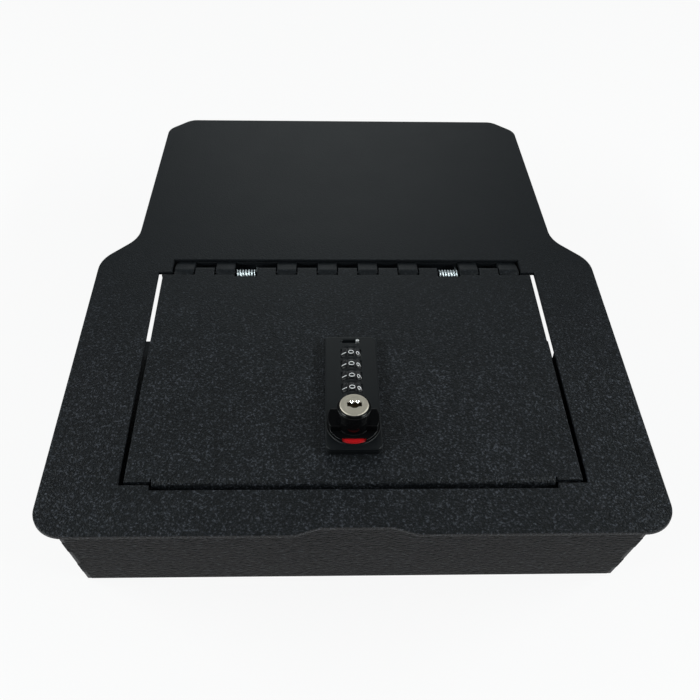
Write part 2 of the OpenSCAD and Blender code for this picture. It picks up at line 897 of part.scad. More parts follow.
module wheel_axle() {
    color(zinc)
    at_lock()
    translate([0, 0, wheel_z]) bar_y(axle_r, axle_start + 0.2, axle_end - 0.2);
}

module detent_spring() {
    low = wheel_z - wheel_r - 1.6;
    color(zinc)
    at_lock() {
        translate([-detent_w / 2, axle_start + 2, low])
            cube([detent_w, axle_end - axle_start - 3, detent_t]);
        for (i = [0:3])
            translate([-detent_w / 2, wheel_y(i), low + 0.4])
                rotate([0, 90, 0]) cylinder(r = detent_nose_r, h = detent_w, $fn = 24);
    }
}

module number_wheel(i) {
    color(black_plastic)
    at_lock()
    translate([0, 0, wheel_z])
    difference() {
        bar_y(wheel_r, wheel_y(i) - wheel_w / 2, wheel_y(i) + wheel_w / 2, 100);
        bar_y(axle_r + running_clearance, wheel_y(i) - wheel_w, wheel_y(i) + wheel_w);
        for (k = [0:9])
            rotate([0, 18 + k * 36, 0])
                translate([0, 0, wheel_r + groove_r - groove_depth])
                    bar_y(groove_r, wheel_y(i) - wheel_w, wheel_y(i) + wheel_w, 24);
    }
}

module number_wheel_1() {
    number_wheel(0);
}

module number_wheel_2() {
    number_wheel(1);
}

module number_wheel_3() {
    number_wheel(2);
}

module number_wheel_4() {
    number_wheel(3);
}

module code_slider() {
    rest_x = slider_travel / 2;
    color(zinc)
    at_lock()
    translate([rest_x, slider_y, 0]) {
        translate([-slider_foot_len / 2, -slider_foot_w / 2, -door_t - slider_foot_t - slider_gap])
            cube([slider_foot_len, slider_foot_w, slider_foot_t]);
        translate([0, 0, -door_t - slider_gap - fine])
            cylinder(r = slider_pin_r, h = door_t + slider_gap + face_t + slider_proud + fine, $fn = 32);
    }
}

module status_ring() {
    shrink = flange_t + ring_gap;
    color("red")
    at_lock()
    rotate_extrude($fn = 96)
        rect(ring_in_r, face_t, knob_r - shrink, flange_top - shrink);
}

module thumb_knob() {
    color(black_plastic)
    at_lock()
    difference() {
        union() {
            rotate_extrude($fn = 96)
                polygon([
                    [0, knob_foot],
                    [knob_r, knob_foot],
                    [knob_r, flange_top - knob_edge],
                    [knob_r - knob_edge, flange_top],
                    [collar_r, flange_top],
                    [collar_r, collar_top - knob_edge],
                    [collar_r - knob_edge, collar_top],
                    [0, collar_top]
                ]);
            translate([0, 0, flange_top - wing_sink])
                linear_extrude(wing_h + wing_sink)
                intersection() {
                    circle(r = knob_r - wing_inset, $fn = 96);
                    rect(-knob_r, -wing_w / 2, knob_r, wing_w / 2);
                }
        }
        translate([0, 0, barrel_floor]) cylinder(r = barrel_r + running_clearance, h = collar_top);
        translate([0, 0, knob_foot - over])
            cylinder(r = spindle_r + running_clearance, h = barrel_floor);
        rotate_extrude($fn = 96)
            rect(ring_in_r - ring_gap, knob_foot - over, knob_r - flange_t, flange_top - flange_t);
        translate([0, 0, knob_foot - over])
            linear_extrude(flange_h + 2 * over)
            rect(-window_w / 2, -knob_r - over, window_w / 2, -window_back);
    }
}

module spindle() {
    square_h = cam_t + 0.6;
    low = -case_depth;
    color(zinc)
    at_lock()
    difference() {
        union() {
            translate([0, 0, low]) cylinder(r = spindle_r, h = barrel_floor - low - 0.1);
            translate([-square_w / 2, -square_w / 2, low - square_h])
                cube([square_w, square_w, square_h + fine]);
            translate([0, 0, low - square_h - washer_t - nut_h - 1])
                cylinder(r = stub_r, h = square_h + washer_t + nut_h + 1);
        }
    }
}

module key_cylinder() {
    color(nickel)
    at_lock()
    difference() {
        union() {
            translate([0, 0, barrel_floor]) cylinder(r = barrel_r, h = collar_top - barrel_floor + fine);
            rotate_extrude($fn = 96)
                polygon([
                    [0, collar_top],
                    [key_face_r, collar_top],
                    [key_face_r, collar_top + key_face_h * 0.5],
                    [key_face_r - 0.25, collar_top + key_face_h * 0.8],
                    [key_face_r - 0.8, collar_top + key_face_h],
                    [0, collar_top + key_face_h]
                ]);
        }
        translate([0, 0, barrel_floor + 1.5])
            cylinder(r = plug_r + running_clearance, h = collar_top);
    }
}

module keyway() {
    half = keyway_w / 2;
    polygon([
        [-half, keyway_h / 2], [-half, -keyway_h / 2], [-half * 0.55, -keyway_h / 2],
        [-half * 0.2, -keyway_h], [half * 0.2, -keyway_h], [half * 0.55, -keyway_h / 2],
        [half, -keyway_h / 2], [half, keyway_h / 2], [half * 0.5, keyway_h / 2],
        [half * 0.1, -keyway_h * 0.1], [-half * 0.1, -keyway_h * 0.1], [-half * 0.5, keyway_h / 2]
    ]);
}

module key_plug() {
    foot = barrel_floor + 1.5 + 0.2;
    head = collar_top + key_face_h;
    color(nickel)
    at_lock()
    difference() {
        translate([0, 0, foot]) cylinder(r = plug_r, h = head - foot);
        translate([0, 0, head - keyway_depth]) linear_extrude(keyway_depth + over) keyway();
    }
}

module cam() {
    color(zinc)
    at_lock()
    translate([0, 0, cam_top - cam_t])
    linear_extrude(cam_t)
    difference() {
        union() {
            circle(r = cam_hub_r);
            rect(0, -cam_w / 2, cam_len - cam_tip_r, cam_w / 2);
            rect(cam_len - cam_tip_r - fine, -cam_w / 2 + cam_tip_r, cam_len, cam_w / 2 - cam_tip_r);
            for (y = [-1, 1])
                translate([cam_len - cam_tip_r, y * (cam_w / 2 - cam_tip_r)])
                    circle(r = cam_tip_r, $fn = 32);
        }
        rect(-square_w / 2 - fine, -square_w / 2 - fine, square_w / 2 + fine, square_w / 2 + fine);
    }
}

module cam_washer() {
    color(zinc)
    at_lock()
    translate([0, 0, cam_top - cam_t - washer_t])
    difference() {
        cylinder(r = nut_flats * 0.62, h = washer_t);
        translate([0, 0, -over]) cylinder(r = stub_r + 0.2, h = washer_t + 2 * over);
    }
}

module cam_nut() {
    color(zinc)
    at_lock()
    translate([0, 0, cam_top - cam_t - washer_t - nut_h])
    difference() {
        cylinder(d = nut_flats / cos(30), h = nut_h, $fn = 6);
        translate([0, 0, -over]) cylinder(r = stub_r + fine, h = nut_h + 2 * over);
    }
}

top_plate();
front_wall();
left_wall();
right_wall();
floor_plate();
rear_wall();
hinge_leaf();
hinge_rod();
left_spring();
right_spring();
strike();
door_stops();
bumpers();
door_panel();
lock_face();
lock_case();
case_screws();
wheel_axle();
detent_spring();
status_ring();
code_slider();
number_wheel_1();
number_wheel_2();
number_wheel_3();
number_wheel_4();
thumb_knob();
spindle();
key_cylinder();
cam();
cam_washer();
cam_nut();
key_plug();
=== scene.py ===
import bmesh
import bpy
import numpy as np
from math import asin, atan2, cos, degrees, pi, radians, sin, sqrt
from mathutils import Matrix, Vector
from mathutils.geometry import tessellate_polygon


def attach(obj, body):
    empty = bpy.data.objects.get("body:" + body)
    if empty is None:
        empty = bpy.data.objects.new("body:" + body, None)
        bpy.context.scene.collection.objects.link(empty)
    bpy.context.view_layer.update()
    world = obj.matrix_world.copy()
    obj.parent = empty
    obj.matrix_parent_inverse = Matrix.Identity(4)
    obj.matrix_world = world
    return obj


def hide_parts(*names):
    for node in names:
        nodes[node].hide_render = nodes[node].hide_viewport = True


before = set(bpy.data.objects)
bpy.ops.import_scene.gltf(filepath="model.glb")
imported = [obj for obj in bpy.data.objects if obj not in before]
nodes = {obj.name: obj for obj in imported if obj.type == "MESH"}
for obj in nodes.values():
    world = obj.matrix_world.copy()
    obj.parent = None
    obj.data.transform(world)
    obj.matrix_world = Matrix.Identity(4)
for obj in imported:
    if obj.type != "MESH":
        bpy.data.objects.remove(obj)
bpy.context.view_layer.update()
MM = 0.001


# Studio.
# White paper under three soft lamps, in a light tent that shows in reflections only. The camera stands in
# front of the safe, a little to the left, and looks down at 45 degrees.

CAMERA_PLACE = (-0.0216, -0.5281, 0.5364)
CAMERA_TURN = (45.439, -1.316, -1.407)
LENS = 46.65
SENSOR = 36.0
TENT = [(0.0, (0.4, 0.415, 0.43)), (0.55, (0.038, 0.041, 0.043)), (1.0, (0.013, 0.014, 0.0145))]
AMBIENT = (0.93, 0.96, 1.0)
AMBIENT_LIGHT = 0.05
PAPER = (0.9, 0.9, 0.9)
WHITE_SHARE = 0.9
FLOOR_HALF = 4.0
# The paper lies just under the safe, so that the two faces never share a place.
FLOOR_Z = -0.0003
LAMP_COLOUR = (0.93, 1.0, 1.0)
REAR_LAMP = {"width": 0.8, "height": 0.8, "power": 3.0}
SIDE_LAMP = {"width": 1.5, "height": 0.22, "power": 18.0}


def placed(name, data):
    """A new object with its data, linked into the scene."""
    made = bpy.data.objects.new(name, data)
    bpy.context.scene.collection.objects.link(made)
    return made


def new_material(name):
    """An empty node material and its node tree."""
    material = bpy.data.materials.new(name)
    material.use_nodes = True
    material.node_tree.nodes.clear()
    return material, material.node_tree


def shader_node(tree, kind, inputs, **settings):
    """A shader node of one kind with its settings. Each input is given by its name or number: as a value, as
    an output of another node, or as another node, whose first output is meant."""
    made = tree.nodes.new("ShaderNode" + kind)
    for name, value in settings.items():
        setattr(made, name, value)
    for name, value in inputs.items():
        if isinstance(value, bpy.types.Node):
            value = value.outputs[0]
        if isinstance(value, bpy.types.NodeSocket):
            tree.links.new(value, made.inputs[name])
        else:
            made.inputs[name].default_value = value
    return made


def colour_ramp(tree, factor, stops):
    """The colour that a factor picks on a ramp through (position, colour) stops."""
    made = shader_node(tree, "ValToRGB", {"Fac": factor})
    elements = made.color_ramp.elements
    elements[0].position = stops[0][0]
    elements[1].position = stops[-1][0]
    for position, _ in stops[1:-1]:
        elements.new(position)
    for element, (_, colour) in zip(elements, stops):
        element.color = (*colour, 1.0)
    return made


def any_ray(tree, *kinds):
    """1 for rays of the kinds named and 0 for all others."""
    path = shader_node(tree, "LightPath", {})
    found = path.outputs[kinds[0]]
    for kind in kinds[1:]:
        found = shader_node(tree, "Math", {0: found, 1: path.outputs[kind]}, operation="MAXIMUM").outputs[0]
    return found


def studio_world():
    """White where it is seen. In a reflection it is a light tent, bright at the horizon and dark overhead.
    The rays that only light the safe meet a dim grey."""
    world = bpy.data.worlds.new("studio")
    world.use_nodes = True
    tree = world.node_tree
    tree.nodes.clear()
    around = shader_node(tree, "TexCoord", {})
    split = shader_node(tree, "SeparateXYZ", {"Vector": around.outputs["Generated"]})
    tent = shader_node(tree, "Background", {"Color": colour_ramp(tree, split.outputs["Z"], TENT)})
    ambient = shader_node(tree, "Background", {"Color": (*AMBIENT, 1.0), "Strength": AMBIENT_LIGHT})
    white = shader_node(tree, "Background", {"Color": (1.0, 1.0, 1.0, 1.0)})
    lit = shader_node(tree, "MixShader", {0: any_ray(tree, "Is Glossy Ray"), 1: ambient, 2: tent})
    seen = any_ray(tree, "Is Camera Ray", "Is Transmission Ray")
    mix = shader_node(tree, "MixShader", {0: seen, 1: lit, 2: white})
    shader_node(tree, "OutputWorld", {"Surface": mix})
    bpy.context.scene.world = world


def floor_material():
    """Near white paper that shows white where it is seen, with a share of its own shading for a shadow."""
    material, tree = new_material("studio_paper")
    paper = shader_node(tree, "BsdfDiffuse", {"Color": (*PAPER, 1.0)})
    white = shader_node(tree, "Emission", {"Strength": 1.0})
    seen = any_ray(tree, "Is Camera Ray", "Is Glossy Ray", "Is Transmission Ray")
    share = shader_node(tree, "Math", {0: seen, 1: WHITE_SHARE}, operation="MULTIPLY")
    mix = shader_node(tree, "MixShader", {0: share, 1: paper, 2: white})
    shader_node(tree, "OutputMaterial", {"Surface": mix})
    return material


def soft_box(name, place, target, width, height, power):
    """A rectangular lamp at a place, turned to face a target."""
    lamp = bpy.data.lights.new(name, "AREA")
    lamp.shape = "RECTANGLE"
    lamp.size = width
    lamp.size_y = height
    lamp.energy = power
    lamp.color = LAMP_COLOUR
    holder = placed(name, lamp)
    holder.location = place
    holder.rotation_euler = (Vector(target) - Vector(place)).to_track_quat("-Z", "Y").to_euler()


camera_data = bpy.data.cameras.new("camera")
camera_data.lens = LENS
camera_data.sensor_width = SENSOR
camera_data.clip_start = 0.01
camera = placed("camera", camera_data)
camera.location = CAMERA_PLACE
camera.rotation_euler = [radians(angle) for angle in CAMERA_TURN]
bpy.context.scene.camera = camera
bpy.context.scene.view_settings.view_transform = "Standard"

floor_mesh = bpy.data.meshes.new("floor")
floor_mesh.from_pydata(
    [(-FLOOR_HALF, -FLOOR_HALF, FLOOR_Z), (FLOOR_HALF, -FLOOR_HALF, FLOOR_Z),
     (FLOOR_HALF, FLOOR_HALF, FLOOR_Z), (-FLOOR_HALF, FLOOR_HALF, FLOOR_Z)], [], [(0, 1, 2, 3)])
floor_mesh.materials.append(floor_material())
floor = placed("floor", floor_mesh)
studio_world()
soft_box("rear", (0.0, 1.6, 1.0), (0.0, 0.0, 0.05), **REAR_LAMP)
soft_box("left_side", (-1.3, -0.3, 0.85), (0.0, -0.1, 0.05), **SIDE_LAMP)
soft_box("right_side", (1.3, -0.3, 0.85), (0.0, -0.1, 0.05), **SIDE_LAMP)


# Cover plate.
# 3 mm steel sheet, cut by laser and powder coated in a coarse black texture, which rounds its edges. The
# walls and the hinge strip are welded under it.

HALF_LEN = 229.3
PLATE_TOP = 92.0
SHEET_T = 3.0
COAT_EDGE = 0.6
PLATE_CORNERS = [(22.0, 5.0, 6.0), (36.3, 0.0, 9.0), (190.0, 0.0, 20.0), (190.0, 251.5, 27.0),
                 (164.5, 279.0, 27.0), (159.5, 442.1, 14.0), (140.5, 458.6, 14.0)]
OPENING_X = 143.5
OPENING_Y = (36.6, 237.0)
LIP_SLOT_X = 124.7
LIP_SLOT_Y = 32.6
HINGE_SLOT_X = 133.5
HINGE_SLOT_Y = 252.2
SUPPORT_RING = 1.3
COAT_DARK = (0.0035, 0.0042, 0.005)
COAT_MIDDLE = (0.009, 0.0108, 0.013)
COAT_PALE = (0.077, 0.083, 0.099)
COAT_EVEN = 0.56
COAT_ROUGHNESS = (0.47, 0.53)
PEBBLE_SPAN = 2.2
FOLD_SPAN = 1.7
CLOUDS_PER_M = 38.0
CLOUD_SHARE = 0.1
ROUGH_AT_Y = -0.11
SMOOTH_AT_Y = 0.06
REAR_RELIEF = 0.15


def arcs(corners, step=6.0):
    """Outline through (x, y, radius) corners. Each corner becomes the arc that is tangent to both its sides,
    with one point for every step of degrees that it turns."""
    pieces = []
    for i, (x, y, radius) in enumerate(corners):
        here = np.array([x, y])
        if radius <= 0.0:
            pieces.append(here[None])
            continue
        to_last = np.array(corners[i - 1][:2]) - here
        to_next = np.array(corners[(i + 1) % len(corners)][:2]) - here
        back = to_last / np.linalg.norm(to_last)
        ahead = to_next / np.linalg.norm(to_next)
        half = np.arccos(np.clip(back @ ahead, -1.0, 1.0)) / 2.0
        reach = 0.499 * min(np.linalg.norm(to_last), np.linalg.norm(to_next))
        run = min(radius / np.tan(half), reach)
        centre = here + (back + ahead) / np.linalg.norm(back + ahead) * run / np.cos(half)
        first = here + back * run - centre
        last = here + ahead * run - centre
        start = np.arctan2(first[1], first[0])
        sweep = (np.arctan2(last[1], last[0]) - start + pi) % (2.0 * pi) - pi
        angle = start + sweep * np.linspace(0.0, 1.0, max(3, int(abs(sweep) / radians(step)) + 2))
        pieces.append(centre + run * np.tan(half) * np.stack([np.cos(angle), np.sin(angle)], 1))
    return np.vstack(pieces)


def mirrored(corners):
    """The corners of a right half with their mirror images."""
    return corners + [(-x, y, radius) for x, y, radius in reversed(corners)]


def offset_by(loop, share):
    """For each point of a closed loop, the vector that moves with an offset of 1 to the right of its sides.
    Each side has its own share of the offset. Where both sides share alike, the vector is the sum of their
    normals over one plus their product. Elsewhere it solves one equation for each side."""
    side = np.roll(loop, -1, 0) - loop
    side /= np.linalg.norm(side, axis=1, keepdims=True)
    after = np.stack([side[:, 1], -side[:, 0]], 1)
    before = np.roll(after, 1, 0)
    share_before = np.roll(share, 1)
    product = (after * before).sum(1, keepdims=True)
    alike = (after + before) / np.maximum(1.0 + product, 0.2) * share[:, None]
    across = before[:, 0] * after[:, 1] - before[:, 1] * after[:, 0]
    turns = np.abs(across) > 0.1
    divisor = np.where(turns, across, 1.0)
    x = (share_before * after[:, 1] - share * before[:, 1]) / divisor
    y = (share * before[:, 0] - share_before * after[:, 0]) / divisor
    unlike = np.where(turns[:, None], np.stack([x, y], 1), 0.0)
    return np.where((share == share_before)[:, None], alike, unlike)


def slab(loops, low, high, edge, butt=None, axes=(0, 1, 2)):
    """Corners and faces of a sheet with rounded edges between two levels. At an angle down the rounding each
    loop lies edge * (1 - sine) inside its outline and edge * (1 - cosine) below the face, and one more ring
    further in keeps the face flat. Outlines run counterclockwise and holes clockwise. Sides for which butt
    is true stay square, where another piece goes on. The first two axes carry the outline and the third
    carries the levels."""
    angle = np.linspace(0.0, pi / 2.0, 5)
    inset = np.concatenate([[SUPPORT_RING], 1.0 - np.sin(angle)]) * edge
    drop = np.concatenate([[0.0], 1.0 - np.cos(angle)]) * edge
    inset = np.concatenate([inset, inset[::-1]])
    level = np.concatenate([high - drop, low + drop[::-1]])
    vertices = []
    faces = []
    tops = []
    bottoms = []
    base = 0
    for loop in loops:
        loop = np.asarray(loop, float)
        count = len(loop)
        middle = (loop + np.roll(loop, -1, 0)) / 2.0
        share = np.ones(count) if butt is None else np.where(butt(middle[:, 0], middle[:, 1]), 0.0, 1.0)
        flat = loop[None] - inset[:, None, None] * offset_by(loop, share)[None]
        height = np.repeat(level[:, None], count, 1)
        vertices.append(np.concatenate([flat, height[..., None]], 2).reshape(-1, 3))
        ring, point = np.meshgrid(np.arange(len(level) - 1), np.arange(count), indexing="ij")
        here = base + ring * count + point
        beside = base + ring * count + (point + 1) % count
        faces += np.stack([here, here + count, beside + count, beside], 2).reshape(-1, 4).tolist()
        tops.append(np.arange(base, base + count))
        bottoms.append(np.arange(base + (len(level) - 1) * count, base + len(level) * count))
        base += len(level) * count
    vertices = np.vstack(vertices)
    for rings, faces_up in ((tops, True), (bottoms, False)):
        rims = [np.pad(vertices[ring, :2], ((0, 0), (0, 1))).tolist() for ring in rings]
        fill = np.concatenate(rings)[np.array(tessellate_polygon(rims))]
        corner = vertices[fill][:, :, :2]
        one = corner[:, 1] - corner[:, 0]
        other = corner[:, 2] - corner[:, 0]
        area = one[:, 0] * other[:, 1] - one[:, 1] * other[:, 0]
        wrong = (area < 0.0) == faces_up
        fill[wrong] = fill[wrong][:, ::-1]
        faces += fill[np.abs(area) > 1e-9].tolist()
    return vertices[:, np.argsort(axes)], faces


def piece(name, parts, material, body, node=None, origin=(0.0, 0.0, 0.0), turn=35.0):
    """One object from parts given as corners in millimetres and faces. It rides on a body and can replace a
    CAD node. Edges that turn by more than an angle stay sharp."""
    vertices = []
    faces = []
    base = 0
    for corners, sides in parts:
        vertices.append(corners + np.array(origin) - np.array([0.0, HALF_LEN, 0.0]))
        faces += [[base + i for i in side] for side in sides]
        base += len(corners)
    mesh = bpy.data.meshes.new(name)
    mesh.from_pydata((np.vstack(vertices) * MM).tolist(), [], faces)
    work = bmesh.new()
    work.from_mesh(mesh)
    bmesh.ops.remove_doubles(work, verts=work.verts, dist=2e-7)
    work.to_mesh(mesh)
    work.free()
    mesh.shade_smooth()
    mesh.set_sharp_from_angle(angle=radians(turn))
    mesh.materials.append(material)
    made = placed(name, mesh)
    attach(made, body)
    if node is not None:
        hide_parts(node)
    return made


def coat(name, grain, lift, level, painted_shade=1.0, stretch=(1.0, 1.0, 1.0)):
    """Textured black powder coat. Its height is fine noise less the distance from scattered points, which
    gives pebbles of one grain between folds. Its tone follows the same noise with a share of wide clouds.
    Both fade towards the rear, where the coat lies smoother."""
    material, tree = new_material(name)
    place = shader_node(tree, "TexCoord", {}).outputs["Object"]
    grid = shader_node(tree, "Mapping", {"Vector": place, "Scale": stretch})
    pebbles = shader_node(tree, "TexNoise", {"Vector": grid, "Scale": 1.0 / (PEBBLE_SPAN * grain),
                                             "Detail": 3.0, "Roughness": 0.6})
    folds = shader_node(tree, "TexVoronoi", {"Vector": grid, "Scale": 1.0 / (FOLD_SPAN * grain),
                                             "Smoothness": 0.6}, feature="SMOOTH_F1")
    clouds = shader_node(tree, "TexNoise", {"Vector": place, "Scale": CLOUDS_PER_M, "Detail": 4.0})
    split = shader_node(tree, "SeparateXYZ", {"Vector": place})
    fade = shader_node(tree, "MapRange", {"Value": split.outputs["Y"], "From Min": ROUGH_AT_Y,
                                          "From Max": SMOOTH_AT_Y, "To Min": 1.0, "To Max": REAR_RELIEF})
    height = shader_node(tree, "Math", {0: pebbles, 1: folds}, operation="SUBTRACT")
    bump = shader_node(tree, "Bump", {"Strength": fade, "Distance": lift, "Height": height})

    blend = shader_node(tree, "Math", {0: clouds, 1: CLOUD_SHARE, 2: pebbles}, operation="MULTIPLY_ADD")
    even = shader_node(tree, "Mix", {"Factor": fade, "A": COAT_EVEN, "B": blend})
    # painted_shade multiplies every colour of the ramp: below 1 it paints shade into a darker copy of the
    # coat.
    stops = [(position, [painted_shade * part for part in colour])
             for position, colour in ((0.42, COAT_DARK), (0.6, COAT_MIDDLE), (0.76, COAT_PALE))]
    rough = shader_node(tree, "MapRange", {"Value": clouds, "To Min": COAT_ROUGHNESS[0],
                                           "To Max": COAT_ROUGHNESS[1]})
    shader = shader_node(tree, "BsdfPrincipled", {
        "Base Color": colour_ramp(tree, even, stops), "Roughness": rough, "Specular IOR Level": level,
        "Normal": bump})
    shader_node(tree, "OutputMaterial", {"Surface": shader})
    return material


COAT = coat("powder_coat", grain=0.00062, lift=0.0004, level=0.25)
opening = [(-OPENING_X, OPENING_Y[1]), (-HINGE_SLOT_X, OPENING_Y[1]), (-HINGE_SLOT_X, HINGE_SLOT_Y),
           (HINGE_SLOT_X, HINGE_SLOT_Y), (HINGE_SLOT_X, OPENING_Y[1]), (OPENING_X, OPENING_Y[1]),
           (OPENING_X, OPENING_Y[0]), (LIP_SLOT_X, OPENING_Y[0]), (LIP_SLOT_X, LIP_SLOT_Y),
           (-LIP_SLOT_X, LIP_SLOT_Y), (-LIP_SLOT_X, OPENING_Y[0]), (-OPENING_X, OPENING_Y[0])]
piece("cover_plate",
      [slab([arcs(mirrored(PLATE_CORNERS)), opening], PLATE_TOP - SHEET_T, PLATE_TOP, COAT_EDGE)],
      COAT, "safe", "top_plate")


# Walls and floor of the box.
# 2.6 mm steel sheet, welded at the corners, in the same coat as the plate. The front leans back, and its
# four tabs pass through the side walls. On the front the coat has run into fine level streaks, and its
# colours there are darkened as painted shade.

WALL_EDGE = 0.5


def eased(node, width, material, body, segments=2):
    """A merged copy of a CAD node with its edges rounded to a width, in place of the node."""
    mesh = nodes[node].data.copy()
    mesh.name = node + "_eased"
    work = bmesh.new()
    work.from_mesh(mesh)
    bmesh.ops.remove_doubles(work, verts=work.verts, dist=1e-6)
    bmesh.ops.dissolve_limit(work, angle_limit=radians(1.0), verts=work.verts, edges=work.edges)
    work.to_mesh(mesh)
    work.free()
    mesh.materials.clear()
    mesh.materials.append(material)
    mesh.shade_smooth()
    mesh.set_sharp_from_angle(angle=radians(35.0))
    made = placed(node + "_eased", mesh)
    round_off = made.modifiers.new("round_off", "BEVEL")
    round_off.width = width * MM
    round_off.segments = segments
    round_off.limit_method = "ANGLE"
    round_off.angle_limit = radians(40.0)
    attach(made, body)
    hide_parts(node)


# Painted shade: the front wall wears the plate's coat with its colours multiplied by 0.55, so it reads darker
# than its lighting makes it.
FRONT_COAT_PAINTED_DARKER = coat("front_coat_painted_darker", grain=0.0007, lift=0.0013, level=0.04, painted_shade=0.55, stretch=(0.4, 1.0, 1.0))
for node in ("left_wall", "right_wall", "rear_wall", "floor_plate"):
    eased(node, WALL_EDGE, COAT, "safe")
eased("front_wall", WALL_EDGE, FRONT_COAT_PAINTED_DARKER, "safe")


# Hinge: the fixed knuckles and their strip.
# A 3 mm strip welded under the plate behind its opening. Eight fingers of it slope up to the rod and are
# rolled round it to all but a full turn.

HINGE_Y = 240.3
HINGE_Z = 86.45
BORE_R = 2.55
KNUCKLE_R = BORE_R + SHEET_T
# From left to right: S for a knuckle of the strip, D for one of the door and - for the pocket of a spring.
KNUCKLES = "SDS-DSDSDSDSD-SDS"
KNUCKLE_PITCH = 15.55
KNUCKLE_GAP = 0.9
POCKET_W = 17.4
ROLL = radians(288.4)
CURL_EDGE = 0.3
STRIP_X = 145.5
STRIP_W = 22.0
STRIP_EDGE = 0.4
FINGER_LAP = 0.6
FINGER_DROP = 0.05


def knuckle_span(i):
    """Left and right end of knuckle i. A pocket is wider and takes its width from the knuckles beside it."""
    middle = (i - len(KNUCKLES) // 2) * KNUCKLE_PITCH
    if KNUCKLES[i] == "-":
        return middle - POCKET_W / 2.0, middle + POCKET_W / 2.0
    half = (KNUCKLE_PITCH - KNUCKLE_GAP) / 2.0
    by_pocket = KNUCKLE_PITCH - POCKET_W / 2.0
    left_half = by_pocket if KNUCKLES[i - 1] == "-" else half
    right_half = by_pocket if KNUCKLES[(i + 1) % len(KNUCKLES)] == "-" else half
    return middle - left_half, middle + right_half


def rolled(outline, letter, butt=None):
    """The knuckles of one letter: an outline about the hinge axis, carried along the axis."""
    return [slab([outline + [HINGE_Y, HINGE_Z]], *knuckle_span(i), CURL_EDGE, butt, (1, 2, 0))
            for i, kind in enumerate(KNUCKLES) if kind == letter]


def on_circle(radius, start, end, step=9.0):
    """Points of an arc from one angle to another, one for every step of degrees."""
    angle = np.linspace(start, end, max(2, int(abs(degrees(end - start)) / step) + 1))
    return radius * np.stack([np.cos(angle), np.sin(angle)], 1)


def rectangle(half_x, low_y, high_y):
    """Counterclockwise corners of a rectangle."""
    return [(-half_x, low_y), (half_x, low_y), (half_x, high_y), (-half_x, high_y)]


slope_y = HINGE_SLOT_Y - HINGE_Y
slope_z = PLATE_TOP - SHEET_T - HINGE_Z
leave = atan2(slope_z, slope_y) + np.arccos(KNUCKLE_R / sqrt(slope_y ** 2 + slope_z ** 2))
through = SHEET_T * np.array([cos(leave), sin(leave)])
finger_end = np.array([slope_y + FINGER_LAP, slope_z - FINGER_DROP])
finger = np.vstack([finger_end - through, finger_end, on_circle(KNUCKLE_R, leave, leave + ROLL),
                    on_circle(BORE_R, leave + ROLL, leave)])
strip = slab([rectangle(STRIP_X, HINGE_SLOT_Y, HINGE_SLOT_Y + STRIP_W)],
             PLATE_TOP - 2.0 * SHEET_T, PLATE_TOP - SHEET_T, STRIP_EDGE)
piece("hinge_leaf_rolled", [strip] + rolled(finger, "S"), COAT, "safe", "hinge_leaf")


# Hinge rod.
# A length of 5 mm steel rod in black oxide, cut off and chamfered at both ends. It lies through all the
# knuckles and reaches a little past the outer ones.

ROD_R = 2.5
ROD_CHAMFER = 0.4
ROD_OVERHANG = 0.6
GRINDING_PER_M = 900.0
ROUGHNESS_SPREAD = 0.25


def metal(name, colour, roughness, streak=0.0):
    """Plated metal whose roughness wanders a little, with fine grinding marks if streak isn't 0."""
    material, tree = new_material(name)
    place = shader_node(tree, "TexCoord", {}).outputs["Object"]
    grain = shader_node(tree, "TexNoise", {"Vector": place, "Scale": GRINDING_PER_M, "Detail": 3.0})
    rough = shader_node(tree, "MapRange", {"Value": grain, "To Min": roughness * (1.0 - ROUGHNESS_SPREAD),
                                           "To Max": roughness * (1.0 + ROUGHNESS_SPREAD)})
    shader = shader_node(tree, "BsdfPrincipled", {"Base Color": (*colour, 1.0), "Metallic": 1.0,
                                                  "Roughness": rough})
    if streak > 0.0:
        bump = shader_node(tree, "Bump", {"Distance": streak, "Height": grain})
        tree.links.new(bump.outputs[0], shader.inputs["Normal"])
    shader_node(tree, "OutputMaterial", {"Surface": shader})
    return material


def turned(profile, sides, axes=(0, 1, 2), span=None):
    """Corners and faces of a solid of revolution. Each (radius, height) point of the profile makes one ring,
    and the profile runs from the bottom of the axis, out and up to the top of the axis. Over a span of less
    than a full turn the profile is a closed outline and fills both ends."""
    radius, height = np.asarray(profile, float).T
    if span is None:
        angle = np.linspace(0.0, 2.0 * pi, sides, endpoint=False)
    else:
        angle = np.linspace(*span, sides + 1)
    count = len(angle)
    rings = np.stack([np.outer(radius, np.cos(angle)), np.outer(radius, np.sin(angle)),
                      np.repeat(height[:, None], count, 1)], 2)
    ring, point = np.meshgrid(np.arange(len(radius) - 1), np.arange(sides), indexing="ij")
    here = ring * count + point
    beside = ring * count + (point + 1) % count
    faces = np.stack([here, beside, beside + count, here + count], 2).reshape(-1, 4).tolist()
    if span is not None:
        start = [i * count for i in range(len(radius) - 1)]
        faces += [start, [i + count - 1 for i in start][::-1]]
    return rings.reshape(-1, 3)[:, np.argsort(axes)], faces


OXIDE = metal("black_oxide", (0.02, 0.02, 0.022), 0.45)
rod_half = knuckle_span(len(KNUCKLES) - 1)[1] + ROD_OVERHANG
rod = [(1e-6, -rod_half), (ROD_R - ROD_CHAMFER, -rod_half), (ROD_R, -rod_half + ROD_CHAMFER),
       (ROD_R, rod_half - ROD_CHAMFER), (ROD_R - ROD_CHAMFER, rod_half), (1e-6, rod_half)]
piece("hinge_rod_cut", [turned(rod, 32, (1, 2, 0))], OXIDE, "safe", "hinge_rod",
      (0.0, HINGE_Y, HINGE_Z))


# Torsion springs.
# Seven turns of 1.4 mm zinc-plated spring wire on the hinge rod. One leg reaches to the rear wall and the
# other runs under the door and turns up at its end.

WIRE_R = 0.7
COIL_R = 3.45
COIL_PITCH = 2.2
COIL_TURNS = 7
DOOR_LEG = 14.0
DOOR_LEG_TOP = 2.3
LEG_BEND = 2.0
WALL_LEG = 13.05


